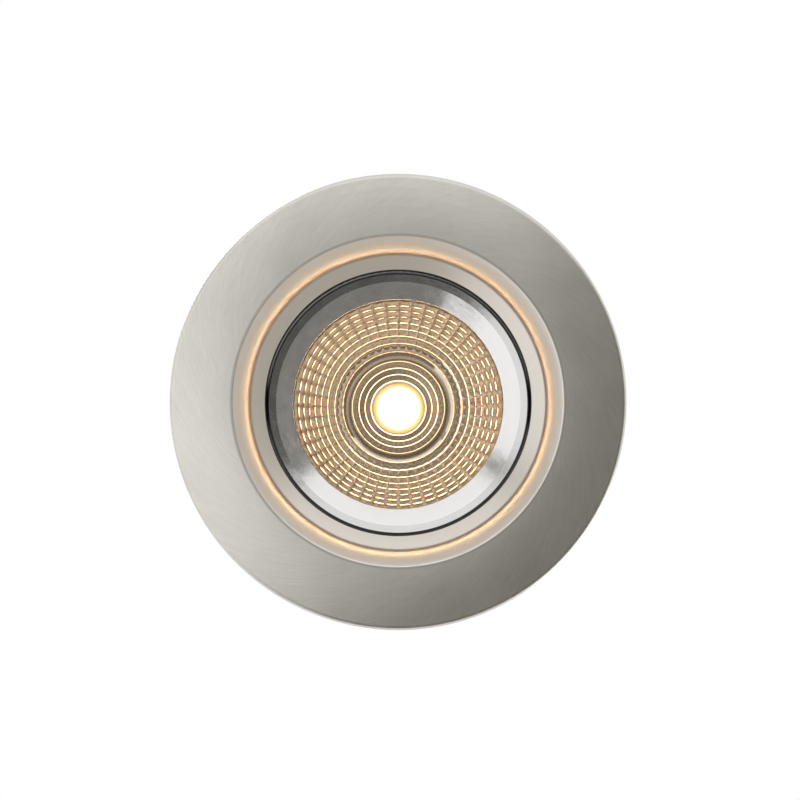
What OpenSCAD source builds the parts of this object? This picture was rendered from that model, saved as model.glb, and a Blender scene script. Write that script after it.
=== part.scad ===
// Adjustable recessed spotlight for an 83 mm ceiling cut-out.
// Millimetres. Z points up into the ceiling, and the light shines towards -Z.
// The origin is on the lamp's axis, in the plane where the flange meets the ceiling.

/* [Trim ring] */
// Diameter of the hole in the ceiling
cutout_d = 83; // [80:0.5:90]
// Play of the collar in that hole, a side
cutout_play = 0.3; // [0.1:0.05:0.5]
// Height of the collar that centres the flange in the hole
collar_h = 2.5; // [1.5:0.1:4]
// How far the brushed flange reaches past the hole
flange_w = 6.5; // [6:0.1:12]
// Thickness of the flange at its rim
flange_edge = 2.4; // [2:0.1:4]
// How far the face rises from the rim to the lip of the recess
face_drop = 1.1; // [0.4:0.1:2.5]
// Bulge of the face over its own chord
face_crown = 0.16; // [0.05:0.01:0.4]
// Rounding of the outer rim
rim_round = 1; // [0.4:0.1:1.4]
// How far the neck stands inside the collar
neck_step = 3.7; // [3:0.1:5]
// Width from the neck to the crest of the lip
lip_w = 2.55; // [2.3:0.05:4]
// Rounding of the lip
lip_round = 0.55; // [0.3:0.05:0.9]
// Depth from the lip to the tight end of the throat
recess_depth = 12.5; // [11:0.1:15]
// Width of the rounded shoulder behind the lip
shoulder_w = 3.35; // [3:0.05:3.6]
// Slope of the shoulder at the lip, from the axis
shoulder_angle = 42; // [40:1:46]
// Slope of the recess wall at the foot of the shoulder, from the axis
wall_angle = 21; // [18:1:24]
// Length of the straight wall
wall_l = 1.2; // [1:0.1:1.6]
// Slope of the satin cone from the axis
cone_angle = 52; // [50:1:58]
// Hollow rounding between wall and cone
corner_round = 1; // [0.5:0.1:2]
// Width of the recess from the crest of the lip to the throat
recess_w = 6.8; // [6:0.1:8]
// Thickness of the ring behind the throat
throat_lip = 1.5; // [1.2:0.1:2.5]
// How much wider the ring opens behind the throat, a side
throat_relief = 1.15; // [1:0.05:1.5]

/* [Ceiling gasket] */
// Distance of the gasket's groove from the collar
gasket_gap = 1.8; // [1.2:0.1:2]
// Width of the groove
gasket_w = 3.2; // [2:0.1:3.3]
// Depth of the groove, which the pressed gasket fills
gasket_t = 1; // [0.6:0.1:1.3]
// Play of the gasket in its groove, a side
gasket_play = 0.05; // [0.02:0.01:0.2]

/* [Gimbal] */
// Height of the tilt axis over the ceiling plane
tilt_z = 16; // [15:0.1:18]
// Gap between the throat and the front edge of the head
throat_gap = 0.44; // [0.35:0.01:0.7]
// Thickness of the sheet steel of the frame and the clip brackets
sheet_t = 1.2; // [1:0.1:1.5]
// Margin between the frame's edge and the neck's edge
frame_margin = 0.5; // [0.2:0.1:1]
// Width of a pivot ear
ear_w = 11; // [9:0.5:13]
// Diameter of the shoulder of a pivot screw
pivot_d = 4; // [3:0.1:5]
// Radial play of every part that turns on a pin or shoulder
running_play = 0.05; // [0.02:0.01:0.09]
// Thickness of a pivot washer
washer_t = 0.5; // [0.4:0.1:1]
// How far the pivot bosses stand out of the ball
boss_out = 0.5; // [0.3:0.1:0.8]
// Radius of a pivot boss
boss_r = 4.5; // [4:0.1:5]
// Distance of the frame screws from the neck's edge
frame_screw_in = 2.8; // [2.5:0.1:3]

/* [Bezel] */
// How far the bezel's front lies behind the depth of the recess
bezel_step = 0.1; // [0:0.05:0.3]
// Width of the outer chamfer
band_w = 1.65; // [1:0.05:2.5]
// Slope of the outer chamfer from the axis
band_angle = 62; // [54:1:68]
// Slope of the polished funnel from the axis
bevel_angle = 56; // [52:1:60]
// Width of the polished funnel
bevel_w = 3.56; // [2.5:0.1:5]
// Width of the ledge that holds the lens
ledge_w = 2; // [1.2:0.1:3]
// Thickness of that ledge
ledge_t = 2; // [1.9:0.1:2.5]
// Wall of the cylindrical back end
skirt_wall = 3.5; // [3.2:0.1:3.8]
// Reach of the ball-shaped side behind the tilt axis
ball_back = 4; // [3.5:0.1:5]

/* [Lens and seal] */
// Thickness of the glass
lens_t = 2; // [1.5:0.1:3]
// Thickness of the silicone seal
seal_t = 0.8; // [0.5:0.1:1.5]
// Play of lens, seal and reflector in the bore, a side
bore_play = 0.2; // [0.1:0.05:0.3]

/* [Reflector] */
// Number of facets round the axis
facets = 48; // [24:4:60]
// Number of rings in the conical foot
foot_rings = 3; // [2:1:4]
// Number of rings in the parabolic bowl
bowl_rings = 9; // [7:1:9]
// Height of one ring
ring_h = 1.4; // [1.2:0.05:1.7]
// Diameter of the opening over the emitter
foot_d = 12.1; // [11.6:0.1:13]
// Diameter where the foot meets the bowl
bowl_d = 20; // [19:0.1:21]
// How far the bowl's rim stands inside the aperture, a side
rim_in = 0.05; // [0.02:0.01:0.5]
// Thickness of the pressed shell
shell_t = 0.9; // [0.6:0.1:1.1]
// Thickness of the rim flange
rim_t = 1; // [0.6:0.1:1.5]

/* [Light engine] */
// Diameter of the glowing phosphor
emitter_d = 10.8; // [9:0.1:11.4]
// Height of the phosphor dam over the board
emitter_t = 0.35; // [0.2:0.05:0.5]
// Side of the square board
board_w = 13.5; // [12:0.1:14]
// Thickness of the board
board_t = 1; // [0.8:0.1:1.4]
// Thickness of the thermal pad
pad_t = 0.3; // [0.2:0.05:0.5]
// Diameter of the holder
holder_d = 26; // [25:0.1:26.6]
// Height of the holder
holder_t = 3.2; // [3:0.1:4]
// Diameter of the holder's window
window_d = 14.8; // [14.4:0.1:16]
// Distance of the holder screws from the axis
holder_screw_r = 10.5; // [10.3:0.1:10.8]

/* [Heat sink] */
// Number of fins
fins = 20; // [12:2:24]
// Thickness of a fin
fin_t = 1.3; // [1:0.1:1.6]
// How far the fins stand inside the front flange
fin_step = 4; // [3.8:0.1:5]
// How much the fins taper towards the back, a side
fin_taper = 2; // [0:0.1:4]
// Thickness of the front flange
sink_flange_t = 2.4; // [2:0.1:3.5]
// Depth of the spigot in the bezel
spigot_h = 2.6; // [2:0.1:4]
// Wall of the cup round the reflector
cup_wall = 2; // [1.5:0.1:2.4]
// Thickness of the floor behind the light engine
floor_t = 4.5; // [4.3:0.1:7]
// Height of the fins behind the floor
fin_back_h = 7; // [5:0.5:12]
// Radius of the central core
core_r = 7.5; // [6:0.5:9]
// Thickness of the back plate
plate_t = 3; // [2.5:0.1:4]
// Radius of the back plate and the wiring cap
cap_r = 17; // [16.5:0.1:19]

/* [Wiring space] */
// Height of the wiring cap
cap_h = 10; // [9.6:0.1:14]
// Wall of the wiring cap
cap_wall = 1.6; // [1.2:0.1:2]
// Thickness of the cap's seal
cap_seal_t = 0.8; // [0.5:0.1:1.5]
// Distance of the cap screws from the cap's edge
cap_screw_in = 3.6; // [3.4:0.1:4]
// Diameter of a lead of the light engine
lead_d = 1.4; // [1:0.1:1.6]
// Half the distance between the two leads
lead_x = 2.2; // [2:0.1:2.6]
// Distance of the leads from the axis
lead_y = 10.6; // [10.4:0.1:10.8]
// Bend radius of a lead
lead_bend = 1.6; // [1.4:0.1:2]

/* [Cable gland] */
// Diameter of the cable that the gland takes
cable_d = 6.2; // [5:0.1:6.4]
// Thread diameter of the gland
gland_d = 12; // [11.6:0.1:13]
// Width across flats of the gland's hexagons
gland_af = 15; // [14.5:0.1:17]
// Height of the gland body's hexagon
gland_hex_h = 4; // [3:0.1:6]
// Length of the upper thread
gland_thread_h = 6; // [5:0.1:8]
// Height of the gland nut
gland_nut_h = 8; // [7.4:0.1:10]
// Thickness of the nut's dome over the rubber insert
gland_dome_t = 1.4; // [1:0.1:2]
// Height of the locknut inside the cap
locknut_h = 2.15; // [1.8:0.05:3]
// How far the gland's thread stands out below the locknut
thread_out = 0.4; // [0.2:0.1:1]
// Length of the rubber insert
insert_h = 7; // [6:0.1:7.2]

/* [Ceiling clips] */
// Distance of a clip's pin from the neck's edge
clip_in = 0.7; // [0.5:0.1:1]
// Height of a clip's pin over the ceiling plane
clip_z = 18; // [17.5:0.1:20]
// Angle of the resting arm below the horizontal
clip_angle = 66; // [64:1:68]
// Diameter of a clip's pin
clip_pin_d = 2; // [1.6:0.1:2.4]
// Thickness of an arm's blade
arm_t = 1; // [0.8:0.1:1.2]
// Half width of an arm over its ears
arm_w = 6.7; // [6:0.1:7]
// Half width of the blade inside its pad
blade_w = 4.8; // [4:0.1:5]
// Wall of the rubber pad over and under the blade
pad_wall = 0.7; // [0.5:0.1:0.9]
// Length of the rubber pad
pad_l = 6.4; // [5:0.1:8]
// Gap between a resting pad and the ceiling gasket
pad_rest_gap = 0.3; // [0.2:0.05:0.4]
// Diameter of the spring wire
wire_d = 0.8; // [0.6:0.05:0.9]
// Mean radius of the spring
coil_r = 2.1; // [2:0.05:2.2]
// Step of the spring's turns
coil_pitch = 1.35; // [1.32:0.01:1.4]
// Radius of the ears of arm and bracket
ear_r = 3.2; // [2.8:0.1:3.3]
// Play between an arm's ear and its bracket
ear_play = 0.3; // [0.2:0.05:0.4]
// Reach of a bracket's base from the pin towards the axis
bracket_l = 6.4; // [6:0.1:6.5]
// Distance of the bracket screws from the pin towards the axis
bracket_screw_in = 2.8; // [2.6:0.1:3]
// Half the distance between the two bracket screws
bracket_screw_x = 4.6; // [4.4:0.1:4.8]

/* [Hidden] */
$fn = 96;
cut = 0.5; // overlap of a cutting tool past the face it cuts

// Screw sizes: head radius, head height, shank radius
m3 = [2.7, 1.8, 1.45];
m25 = [2.1, 1.5, 1.2];
m2 = [1.6, 1.2, 0.95];
screw_play = 0.05;

// Trim ring
flange_r = cutout_d / 2 + flange_w;
collar_r = cutout_d / 2 - cutout_play;
gasket_r = collar_r + gasket_gap;
neck_r = collar_r - neck_step;
lip_r = neck_r - lip_w;
throat_r = lip_r - recess_w;
face_z = -flange_edge - face_drop;
throat_z = face_z + recess_depth;
neck_z = throat_z + throat_lip;
ring_in_r = throat_r + throat_relief;
rim_slope = 8;
back_chamfer = 0.5;
throat_land = 0.3;
// The shoulder is one arc from the lip's rounding to the wall
shoulder_r0 = lip_r - lip_round * cos(shoulder_angle);
shoulder_z0 = face_z + lip_round * (1 - sin(shoulder_angle));
wall_r0 = lip_r - shoulder_w;
shoulder_round = (shoulder_r0 - wall_r0) / (cos(wall_angle) - cos(shoulder_angle));
shoulder_cr = shoulder_r0 + shoulder_round * cos(shoulder_angle);
shoulder_cz = shoulder_z0 + shoulder_round * sin(shoulder_angle);
wall_z0 = shoulder_cz - shoulder_round * sin(wall_angle);
// Where wall and cone would meet without their rounding
corner_r = wall_r0 - wall_l * sin(wall_angle);
corner_z = wall_z0 + wall_l * cos(wall_angle);
cone_z = corner_z + (corner_r - throat_r) / tan(cone_angle);
corner_half = (cone_angle - wall_angle) / 2;
corner_run = min(corner_round * tan(corner_half), 0.9 * wall_l,
    0.9 * (corner_r - throat_r) / sin(cone_angle));
hollow_r = corner_run / tan(corner_half);
corner_cr = corner_r + corner_run * sin(wall_angle) - hollow_r * cos(wall_angle);
corner_cz = corner_z - corner_run * cos(wall_angle) - hollow_r * sin(wall_angle);
screw_grip = 5;

// Gimbal and bezel
frame_z = neck_z + sheet_t;
frame_screw_r = neck_r - frame_screw_in;
bezel_z = throat_z + bezel_step;
bezel_r = throat_r - throat_gap;
ball_r = norm([bezel_r, tilt_z - bezel_z]);
edge_flat = 0.05;
band_r = bezel_r - band_w;
band_z = bezel_z + (band_w - edge_flat) / tan(band_angle);
aperture_r = band_r - bevel_w;
bevel_z = band_z + (band_r - aperture_r) / tan(bevel_angle);
seat_z = bevel_z + ledge_t;
lens_z = seat_z + seal_t;
rim_z = lens_z + lens_t;
bore_r = aperture_r + ledge_w;
insert_r = bore_r - bore_play;
skirt_z = rim_z + rim_t + spigot_h;
skirt_r = bore_r + skirt_wall;
boss_x = ball_r + boss_out;
ear_x = boss_x + washer_t + running_play;
pivot_r = pivot_d / 2;
pivot_bite = 3.3;

// Reflector
rings = foot_rings + bowl_rings;
foot_z = rim_z + rings * ring_h;
rim_r = aperture_r - rim_in;
bowl_r = bowl_d / 2;

// Light engine
seat_play = 0.15;
holder_z = foot_z + seat_play;
floor_z = holder_z + holder_t;
board_z = floor_z - pad_t - board_t;
holder_r = holder_d / 2;
holder_bite = 4;

// Heat sink
sink_flange_z = skirt_z + sink_flange_t;
fin_r = skirt_r - fin_step;
fin_back_r = fin_r - fin_taper;
spigot_r = bore_r - bore_play;
cup_front_r = bowl(rings - 1) + shell_t + 0.5;
cup_back_r = holder_r + 0.6;
cup_back_z = holder_z - 0.5;
sink_floor_z = floor_z + floor_t;
plate_z = sink_floor_z + fin_back_h;
sink_z = plate_z + plate_t;
bezel_screw_r = (bore_r + skirt_r) / 2 + 0.1;
bezel_bite = 4;

// Wiring space
cap_z = sink_z + cap_seal_t;
cap_screw_r = cap_r - cap_screw_in;
cap_top_z = cap_z + cap_h;
cap_boss_r = 2.5;
lead_r = lead_d / 2;
lead_hole_r = lead_r + 0.25;
block_w = 10;
block_l = 8;
block_h = 5.5;
block_gap = 0.3;
lead_top_z = sink_z + 2.6;

// Cable gland
gland_r = gland_d / 2;
gland_bore_r = cable_d / 2 + 0.4;
insert_out_r = gland_r - 1.2;
insert_z = cap_top_z + gland_hex_h - 0.5;
nut_z = cap_top_z + gland_hex_h + 1;
thread_play = 0.1;
insert_play = 0.05;
locknut_z = cap_top_z - cap_wall - 0.05 - locknut_h;
gland_z = locknut_z - thread_out;

// Ceiling clips
clip_u = neck_r - clip_in;
bracket_t = sheet_t;
bracket_z = frame_z + bracket_t;
cheek_x = arm_w + ear_play;
pin_r = clip_pin_d / 2;
pad_half = arm_t / 2 + pad_wall;
// The pad's lower corner rests just over the gasket
pad_end = (clip_z - pad_rest_gap - pad_half * cos(clip_angle)) / sin(clip_angle);
blade_end = pad_end - 1;
blade_start = coil_r + wire_d / 2 + 1.5;
base_in = clip_u - bracket_l;
base_out = neck_r - frame_margin;
bracket_screw_u = clip_u - bracket_screw_in;
wire_r = wire_d / 2;
wire_sides = 6;
turn_steps = 12;

// Points on an arc: centre, radius, first and last angle, number of steps
function arc(c, r, a0, a1, n) = [for (i = [0:n]) let(a = a0 + (a1 - a0) * i / n) c + r * [cos(a), sin(a)]];
// Points on a flat arc from p to q that bulges by s to the right of its way
function bow(p, q, s, n) = let(
    half = norm(q - p) / 2,
    r = (half * half + s * s) / (2 * s),
    way = (q - p) / (2 * half),
    side = [way[1], -way[0]],
    c = (p + q) / 2 - side * (r - s),
    open = asin(half / r)
) [for (i = [0:n]) let(a = open * (2 * i / n - 1)) c + r * (side * cos(a) + way * sin(a))];
// Inner radius of the reflector at the top of ring k, counted from the foot
function bowl(k) = k <= foot_rings
    ? foot_d / 2 + (bowl_r - foot_d / 2) * k / foot_rings
    : sqrt(bowl_r * bowl_r + (rim_r * rim_r - bowl_r * bowl_r) * (k - foot_rings) / bowl_rings);
function on_circle(r, a) = [r * cos(a), r * sin(a)];

// A screw that stands on z = 0 with its shank pointing down
module screw(size, length, drive = 6) {
    difference() {
        union() {
            cylinder(r = size[0], h = size[1] * 0.6, $fn = 48);
            translate([0, 0, size[1] * 0.6])
                cylinder(r1 = size[0], r2 = size[0] * 0.8, h = size[1] * 0.4, $fn = 48);
            translate([0, 0, -length]) cylinder(r = size[2], h = length + cut, $fn = 32);
        }
        translate([0, 0, size[1] * 0.4]) cylinder(r = size[0] * 0.5, h = size[1], $fn = drive);
    }
}
module at_angles(r, angles) {
    for (a = angles) rotate([0, 0, a]) translate([r, 0, 0]) children();
}
module both_sides() {
    children();
    rotate([0, 0, 180]) children();
}
module disc_ring(r_out, r_in, z, h) {
    translate([0, 0, z]) difference() {
        cylinder(r = r_out, h = h);
        translate([0, 0, -cut]) cylinder(r = r_in, h = h + 2 * cut);
    }
}

frame_screw_angles = [45, 135, 225, 315];
bezel_screw_angles = [45, 135, 225, 315];
cap_screw_angles = [for (i = [0:2]) 30 + 120 * i];

module trim_ring() {
    color("#b9b6b0") difference() {
        rotate_extrude($fn = 180) polygon(concat(
            bow([lip_r - lip_round * sin(1), face_z + lip_round * (1 - cos(1))],
                [flange_r - rim_round * (1 - sin(rim_slope)),
                    -flange_edge + rim_round * (1 - cos(rim_slope))], face_crown, 6),
            arc([flange_r - rim_round, rim_round - flange_edge], rim_round, rim_slope - 90, 0, 6),
            [
                [flange_r, -back_chamfer], [flange_r - back_chamfer, 0],
                [gasket_r + gasket_w, 0], [gasket_r + gasket_w, -gasket_t],
                [gasket_r, -gasket_t], [gasket_r, 0],
                [collar_r, 0], [collar_r, collar_h], [neck_r, collar_h],
                [neck_r, neck_z], [ring_in_r, neck_z],
                [throat_r, throat_z + throat_land], [throat_r, cone_z]
            ],
            arc([corner_cr, corner_cz], hollow_r, cone_angle, wall_angle, 6),
            arc([shoulder_cr, shoulder_cz], shoulder_round,
                180 + wall_angle, 179.5 + shoulder_angle, 14),
            arc([lip_r, face_z + lip_round], lip_round, 180 + shoulder_angle, 266, 5)
        ));
        translate([0, 0, neck_z - screw_grip]) {
            at_angles(frame_screw_r, frame_screw_angles)
                cylinder(r = m3[2] + screw_play, h = screw_grip + cut, $fn = 32);
            both_sides() for (x = [-1, 1]) translate([x * bracket_screw_x, bracket_screw_u, 0])
                cylinder(r = m2[2] + screw_play, h = screw_grip + cut, $fn = 32);
        }
    }
}

module ceiling_gasket() {
    color("#2b2b2b") disc_ring(gasket_r + gasket_w - gasket_play,
        gasket_r + gasket_play, -gasket_t, gasket_t);
}

module gimbal_frame() {
    color("#c3c5c6") difference() {
        union() {
            disc_ring(base_out, ring_in_r, neck_z, sheet_t);
            both_sides() pivot_ear();
        }
        at_angles(frame_screw_r, frame_screw_angles) translate([0, 0, neck_z - cut])
            cylinder(r = m3[2] + 0.2, h = sheet_t + 2 * cut, $fn = 32);
        both_sides() {
            for (x = [-1, 1]) translate([x * bracket_screw_x, bracket_screw_u, neck_z - cut])
                cylinder(r = m2[2] + 0.2, h = sheet_t + 2 * cut, $fn = 32);
            translate([ear_x - cut, 0, tilt_z]) rotate([0, 90, 0])
                cylinder(r = pivot_r + running_play, h = sheet_t + 2 * cut, $fn = 48);
        }
    }
}
// An ear bent up from the frame, with its bend outside and a round top
module pivot_ear() {
    bend = 1;
    translate([ear_x, -ear_w / 2, neck_z]) cube([sheet_t, ear_w, tilt_z - neck_z]);
    translate([ear_x, 0, tilt_z]) rotate([0, 90, 0]) cylinder(r = ear_w / 2, h = sheet_t);
    translate([ear_x + sheet_t, ear_w / 2, frame_z]) rotate([90, 0, 0])
        linear_extrude(ear_w) difference() {
            translate([-cut, -cut]) square([bend + cut, bend + cut]);
            translate([bend, bend]) circle(r = bend, $fn = 32);
        }
}

module frame_screws() {
    color("#d8d8d6") at_angles(frame_screw_r, frame_screw_angles)
        translate([0, 0, frame_z]) screw(m3, sheet_t + screw_grip - 0.3);
}

// The clips are drawn at the back, where Y is positive, and turned for the front
module to_front() {
    rotate([0, 0, 180]) children();
}
module at_pin() {
    translate([0, clip_u, clip_z]) children();
}
// The arm's own space: Y along the arm, Z away from its underside
module along_arm() {
    at_pin() rotate([-clip_angle, 0, 0]) children();
}
// Extrudes a shape drawn in Y and Z to the half width x on both sides
module across(x0, x1) {
    translate([x0, 0, 0]) rotate([90, 0, 90]) linear_extrude(x1 - x0) children();
}

module clip_bracket() {
    difference() {
        union() {
            translate([-cheek_x - bracket_t, base_in, frame_z])
                cube([2 * (cheek_x + bracket_t), base_out - base_in, bracket_t]);
            for (x = [-cheek_x - bracket_t, cheek_x]) across(x, x + bracket_t) {
                polygon([
                    [base_in, frame_z], [base_out, frame_z], [clip_u + ear_r, clip_z],
                    [clip_u, clip_z + ear_r], [clip_u - ear_r, clip_z]
                ]);
                translate([clip_u, clip_z]) circle(r = ear_r, $fn = 48);
            }
        }
        across(-cheek_x - bracket_t - cut, cheek_x + bracket_t + cut)
            translate([clip_u, clip_z]) circle(r = pin_r + 0.02, $fn = 32);
        for (x = [-1, 1]) translate([x * bracket_screw_x, bracket_screw_u, frame_z - cut])
            cylinder(r = m2[2] + 0.15, h = bracket_t + 2 * cut, $fn = 32);
    }
}
module clip_bracket_back() {
    color("#c3c5c6") clip_bracket();
}
module clip_bracket_front() {
    color("#c3c5c6") to_front() clip_bracket();
}

module bracket_screws() {
    color("#d8d8d6") both_sides() for (x = [-1, 1])
        translate([x * bracket_screw_x, bracket_screw_u, bracket_z])
            screw(m2, bracket_t + sheet_t + screw_grip - 0.3);
}

module clip_pin() {
    reach = cheek_x + bracket_t;
    head = 0.8;
    across(-reach, reach + head) translate([clip_u, clip_z]) circle(r = pin_r, $fn = 32);
    across(-reach - head, -reach) translate([clip_u, clip_z]) circle(r = pin_r * 1.7, $fn = 32);
}
module clip_pin_back() {
    color("#d8d8d6") clip_pin();
}
module clip_pin_front() {
    color("#d8d8d6") to_front() clip_pin();
}

module clip_arm() {
    along_arm() difference() {
        union() {
            for (x = [-arm_w, arm_w - arm_t]) across(x, x + arm_t) {
                circle(r = ear_r, $fn = 48);
                polygon([[0, -ear_r], [blade_start + 5, -arm_t / 2], [blade_start + 5, arm_t / 2], [0, ear_r]]);
            }
            translate([0, 0, -arm_t / 2]) linear_extrude(arm_t) polygon([
                [-arm_w, blade_start], [arm_w, blade_start], [arm_w, blade_start + 4.5],
                [blade_w, pad_end - pad_l], [blade_w, blade_end], [-blade_w, blade_end],
                [-blade_w, pad_end - pad_l], [-arm_w, blade_start + 4.5]
            ]);
        }
        across(-arm_w - cut, arm_w + cut) circle(r = pin_r + running_play, $fn = 32);
    }
}
module clip_arm_back() {
    color("#b9bcbe") clip_arm();
}
module clip_arm_front() {
    color("#b9bcbe") to_front() clip_arm();
}

module clip_pad() {
    half_w = blade_w + pad_wall - pad_half + 0.1;
    along_arm() difference() {
        translate([0, pad_end, 0]) rotate([90, 0, 0]) linear_extrude(pad_l) {
            square([2 * half_w, 2 * pad_half], center = true);
            for (x = [-half_w, half_w]) translate([x, 0]) circle(r = pad_half, $fn = 32);
        }
        translate([-blade_w - 0.02, pad_end - pad_l - cut, -arm_t / 2 - 0.02])
            cube([2 * blade_w + 0.04, blade_end - pad_end + pad_l + cut + 0.02, arm_t + 0.04]);
    }
}
module clip_pad_back() {
    color("#3a3a3a") clip_pad();
}
module clip_pad_front() {
    color("#3a3a3a") to_front() clip_pad();
}

// Springs. The fixed leg rises from the bracket's base to the coil. The turns run clockwise as
// seen from +X, and the last turn, which carries the working leg, turns with the arm.
foot_pt = [base_in + 1 - clip_u, bracket_z + wire_r + 0.05 - clip_z];
foot_turn = atan2(foot_pt[1], foot_pt[0]) + 360 - acos(coil_r / norm(foot_pt));
leg_pt = [9, arm_t / 2 + wire_r + 0.05];
leg_turn = atan2(leg_pt[1], leg_pt[0]) + acos(coil_r / norm(leg_pt));
lead_turn = 330;
// The coil stops where the working turn starts, after three whole turns and the rest
coil_end = leg_turn + lead_turn - clip_angle - 360 * 4;
coil_sweep = foot_turn - coil_end;
coil_l = coil_pitch * coil_sweep / 360;
leg_l = coil_pitch * lead_turn / 360;
step_over = wire_d + 0.1;
coil_x0 = -(coil_l + step_over + leg_l) / 2;
// A helix of n steps about X, from angle a0 clockwise by sweep
function helix(x0, a0, sweep, n) = [for (i = [0:n]) let(a = a0 - sweep * i / n)
    [x0 + coil_pitch * sweep * i / n / 360, coil_r * cos(a), coil_r * sin(a)]];
coil_steps = ceil(coil_sweep / 360 * turn_steps);
lead_steps = ceil(lead_turn / 360 * turn_steps);
coil_path = concat([[coil_x0, foot_pt[0], foot_pt[1]]], helix(coil_x0, foot_turn, coil_sweep, coil_steps));
leg_x0 = coil_x0 + coil_l + step_over;
leg_path = concat(helix(leg_x0, leg_turn + lead_turn, lead_turn, lead_steps),
    [[leg_x0 + leg_l, leg_pt[0], leg_pt[1]]]);
// Least gap between two turns of one path, over points at least half a turn apart
function turn_gap(path) = min([for (i = [0:len(path) - 1], j = [i + turn_steps / 2:1:len(path) - 1])
    norm(path[i] - path[j])]) - wire_d;
echo(least_gap_between_turns = turn_gap(coil_path));

// A round wire swept along a path that never runs along X
module wire(path) {
    last = len(path) - 1;
    rows = [for (i = [0:last]) let(
        way = path[min(i + 1, last)] - path[max(i - 1, 0)],
        t = way / norm(way),
        b0 = [1, 0, 0] - t[0] * t,
        b = b0 / norm(b0),
        n = cross(b, t)
    ) [for (k = [0:wire_sides - 1]) let(a = 360 * k / wire_sides)
        path[i] + wire_r * (cos(a) * b + sin(a) * n)]];
    faces = concat(
        [[for (k = [0:wire_sides - 1]) k]],
        [for (i = [0:last - 1], k = [0:wire_sides - 1]) let(
            p = i * wire_sides + k, q = i * wire_sides + (k + 1) % wire_sides
        ) each [[p, p + wire_sides, q + wire_sides], [p, q + wire_sides, q]]],
        [[for (k = [wire_sides - 1:-1:0]) last * wire_sides + k]]
    );
    polyhedron(points = [for (row = rows) each row], faces = faces);
}
module clip_spring_back() {
    color("#8f9496") at_pin() wire(coil_path);
}
module clip_spring_front() {
    color("#8f9496") to_front() at_pin() wire(coil_path);
}
module clip_spring_leg_back() {
    color("#8f9496") along_arm() wire(leg_path);
}
module clip_spring_leg_front() {
    color("#8f9496") to_front() along_arm() wire(leg_path);
}

module bezel_ring() {
    color("#d9d8d4") difference() {
        union() {
            rotate_extrude($fn = 180) polygon(concat(
                [[bezel_r - edge_flat, bezel_z]],
                arc([0, tilt_z], ball_r, -asin((tilt_z - bezel_z) / ball_r), asin(ball_back / ball_r), 14),
                [
                    [skirt_r, tilt_z + ball_back + 0.3], [skirt_r, skirt_z], [bore_r, skirt_z],
                    [bore_r, seat_z], [aperture_r, seat_z], [aperture_r, bevel_z], [band_r, band_z]
                ]
            ));
            both_sides() translate([bore_r + 1, 0, tilt_z]) rotate([0, 90, 0])
                cylinder(r = boss_r, h = boss_x - bore_r - 1);
        }
        both_sides() translate([boss_x - pivot_bite, 0, tilt_z]) rotate([0, 90, 0])
            cylinder(r = m3[2] + screw_play, h = pivot_bite + cut, $fn = 32);
        at_angles(bezel_screw_r, bezel_screw_angles) translate([0, 0, skirt_z - bezel_bite])
            cylinder(r = m25[2] + screw_play, h = bezel_bite + cut, $fn = 32);
    }
}

module pivot_screws() {
    color("#c9c9c7") both_sides() translate([boss_x, 0, tilt_z]) rotate([0, 90, 0]) difference() {
        union() {
            translate([0, 0, 0.2 - pivot_bite]) cylinder(r = m3[2], h = pivot_bite, $fn = 32);
            cylinder(r = pivot_r, h = washer_t + sheet_t + 2 * running_play + cut, $fn = 48);
            translate([0, 0, washer_t + sheet_t + 2 * running_play])
                cylinder(r = pivot_r + 1.5, h = 1.8, $fn = 48);
        }
        translate([0, 0, washer_t + sheet_t + 1]) cylinder(r = 1.45, h = 3, $fn = 6);
    }
}

module pivot_washers() {
    color("#e8e6df") both_sides() translate([boss_x, 0, tilt_z]) rotate([0, 90, 0]) difference() {
        cylinder(r = boss_r - 0.3, h = washer_t, $fn = 48);
        translate([0, 0, -cut]) cylinder(r = pivot_r + screw_play, h = washer_t + 2 * cut, $fn = 48);
    }
}

module lens_seal() {
    color("#e9e9e6") disc_ring(insert_r, aperture_r + 0.3, seat_z, seal_t);
}

module lens() {
    color("#dfe9ec", 0.35) translate([0, 0, lens_z]) cylinder(r = insert_r, h = lens_t);
}

module reflector() {
    color("#c9a36a") difference() {
        rotate_extrude($fn = 144) polygon(concat(
            [[0, foot_z], [bowl(0) + shell_t, foot_z]],
            [for (k = [1:rings - 1]) [bowl(k) + shell_t, foot_z - k * ring_h]],
            [
                [bowl(rings - 0.5) + shell_t, rim_z + rim_t], [insert_r, rim_z + rim_t],
                [insert_r, rim_z], [0, rim_z]
            ]
        ));
        bowl_core();
    }
}
// The faceted inside of the bowl: rings of flat trapezia, the same number in each ring
module bowl_core() {
    radii = concat([bowl(0)], [for (k = [0:rings]) bowl(k)], [bowl(rings)]);
    levels = concat([foot_z + cut], [for (k = [0:rings]) foot_z - k * ring_h], [rim_z - cut]);
    rows = len(radii);
    polyhedron(
        points = [for (i = [0:rows - 1], f = [0:facets - 1])
            concat(on_circle(radii[i], 360 * f / facets), [levels[i]])],
        faces = concat(
            [[for (f = [facets - 1:-1:0]) f]],
            [for (i = [0:rows - 2], f = [0:facets - 1]) let(
                p = i * facets + f, q = i * facets + (f + 1) % facets
            ) [p, q, q + facets, p + facets]],
            [[for (f = [0:facets - 1]) (rows - 1) * facets + f]]
        )
    );
}

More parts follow.
